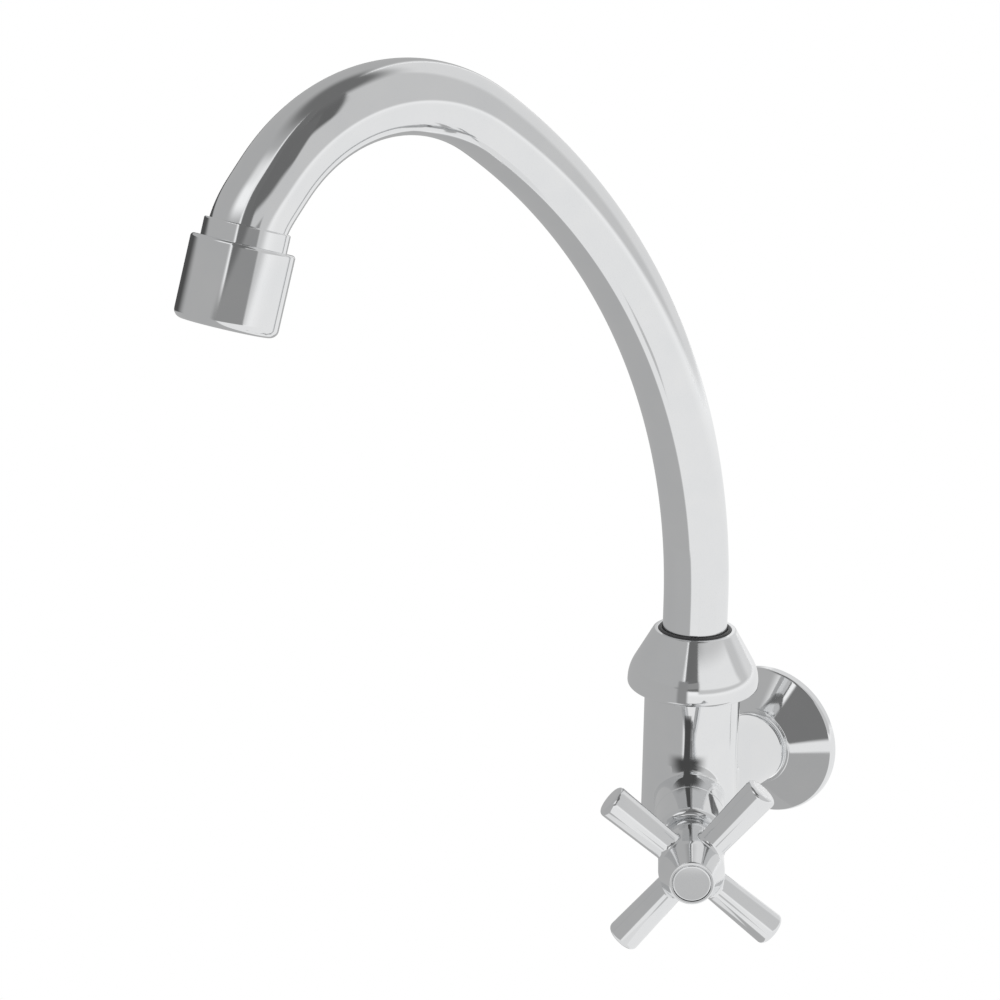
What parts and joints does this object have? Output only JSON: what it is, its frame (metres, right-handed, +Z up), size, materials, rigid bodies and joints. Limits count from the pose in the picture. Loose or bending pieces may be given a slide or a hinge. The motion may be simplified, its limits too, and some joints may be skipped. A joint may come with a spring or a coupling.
{
  "type": "wall-mounted faucet",
  "caption": "Wall-mounted kitchen faucet: swivelling swan-neck spout with aerator on an upright valve body, cross handle turning a ceramic valve, and a sliding wall flange.",
  "frame": {"origin": "on the inlet axis at the wall plane, where the threaded tail enters the wall", "axes": "+Z up along the spout's swivel axis, +Y into the wall along the inlet thread, +X to the right when facing the wall"},
  "size_m": [0.1116, 0.2281, 0.2459],
  "materials": {
    "chrome": "polished chrome plate",
    "brass": "machined",
    "rubber": "moulded",
    "ceramic": "lapped alumina ceramic",
    "white_plastic": "moulded",
    "black_plastic": "moulded",
    "steel": "stainless"
  },
  "bodies": {
    "body": {"valve_body": "chrome", "inlet_tail": "chrome", "spout_collar": "chrome", "collar_guide_ring": "black_plastic", "thrust_washer": "white_plastic", "headwork_housing": "brass", "headwork_gasket": "rubber", "seat_seal": "rubber", "fixed_disc": "ceramic", "bonnet_cover": "chrome"},
    "flange": {"wall_flange": "chrome"},
    "spout": {"spout_tube": "chrome", "spout_ferrule": "brass", "spout_ring_upper": "rubber", "spout_ring_lower": "rubber", "outlet_adapter": "chrome", "aerator_housing": "chrome", "aerator_gasket": "rubber", "aerator_screen": "steel", "aerator_cartridge": "white_plastic"},
    "handle": {"moving_disc": "ceramic", "spindle": "brass", "spindle_ring_inner": "rubber", "spindle_ring_outer": "rubber", "spindle_clip": "steel", "cross_handle": "chrome", "handle_cap": "chrome", "handle_screw": "steel"}
  },
  "joints": [
    {"name": "spout_swivel", "type": "hinge", "parent": "body", "child": "spout", "pos_m": [0, -0.0505, 0.03], "axis": [0, 0, 1], "range_deg": [-72.6, 107.4]},
    {"name": "handle_turn", "type": "hinge", "parent": "body", "child": "handle", "pos_m": [0, -0.0505, 0], "axis": [0.515, -0.8572, 0], "range_deg": [0, 90]},
    {"name": "flange_slide", "type": "slide", "parent": "body", "child": "flange", "axis": [0, -1, 0], "range_m": [0, 0.02]}
  ]
}
